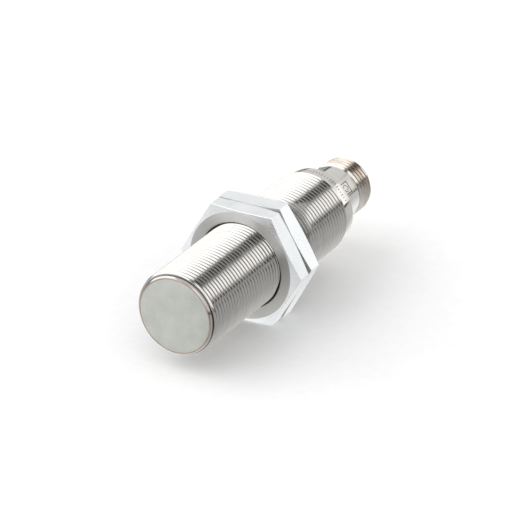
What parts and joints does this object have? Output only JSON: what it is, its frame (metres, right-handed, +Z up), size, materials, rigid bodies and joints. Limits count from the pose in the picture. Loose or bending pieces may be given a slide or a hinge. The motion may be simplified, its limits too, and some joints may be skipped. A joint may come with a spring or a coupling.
{
  "type": "proximity sensor",
  "caption": "Cylindrical inductive proximity sensor with a threaded all-metal body, hexagon lock nuts and a screw-on plug end.",
  "frame": {"origin": "centre of the sensing face", "axes": "+Y along the sensor from the sensing face to the plug, +Z up, square to two flats of the front nut"},
  "size_m": [0.0278, 0.0693, 0.0244],
  "materials": {
    "stainless_turned": "turned stainless steel",
    "stainless_matt": "fine matt stainless steel",
    "nut_steel": "bright satin steel",
    "gold_contact": "gold plate",
    "copper": "copper",
    "ferrite": "sintered ferrite",
    "white_plastic": "moulded",
    "black_plastic": "moulded",
    "board_laminate": "solder mask",
    "chip_package": "moulded epoxy",
    "ceramic_chip": "fired ceramic",
    "resin": "cast epoxy",
    "wire_brown": "extruded insulation",
    "wire_black": "extruded insulation",
    "wire_blue": "extruded insulation",
    "seal_rubber": "moulded rubber"
  },
  "bodies": {
    "housing": {"threaded_sleeve": "stainless_turned", "sensing_face": "stainless_matt", "core_holder": "white_plastic", "ferrite_core": "ferrite", "coil_bobbin": "white_plastic", "coil_winding": "copper", "coil_lead_left": "copper", "coil_lead_right": "copper", "screening_sleeve": "copper", "circuit_board": "board_laminate", "oscillator_capacitor": "ceramic_chip", "adjustment_resistor": "chip_package", "control_chip": "chip_package", "output_transistor": "chip_package", "protection_diode": "chip_package", "feedback_resistor": "chip_package", "filter_capacitor": "ceramic_chip", "potting_resin": "resin", "connector_body": "stainless_turned", "contact_carrier": "black_plastic", "contact_pin_1": "gold_contact", "contact_pin_2": "gold_contact", "contact_pin_3": "gold_contact", "contact_pin_4": "gold_contact", "supply_wire": "wire_brown", "output_wire": "wire_black", "return_wire": "wire_blue", "housing_seal": "seal_rubber", "carrier_seal": "seal_rubber"},
    "front_nut": {"front_nut": "nut_steel"},
    "rear_nut": {"rear_nut": "nut_steel"}
  },
  "joints": [
    {"name": "front_nut_travel", "type": "slide", "parent": "housing", "child": "front_nut", "axis": [0, -1, 0], "range_m": [0, 0.024]},
    {"name": "rear_nut_travel", "type": "slide", "parent": "housing", "child": "rear_nut", "axis": [0, 1, 0], "range_m": [0, 0.019]}
  ]
}
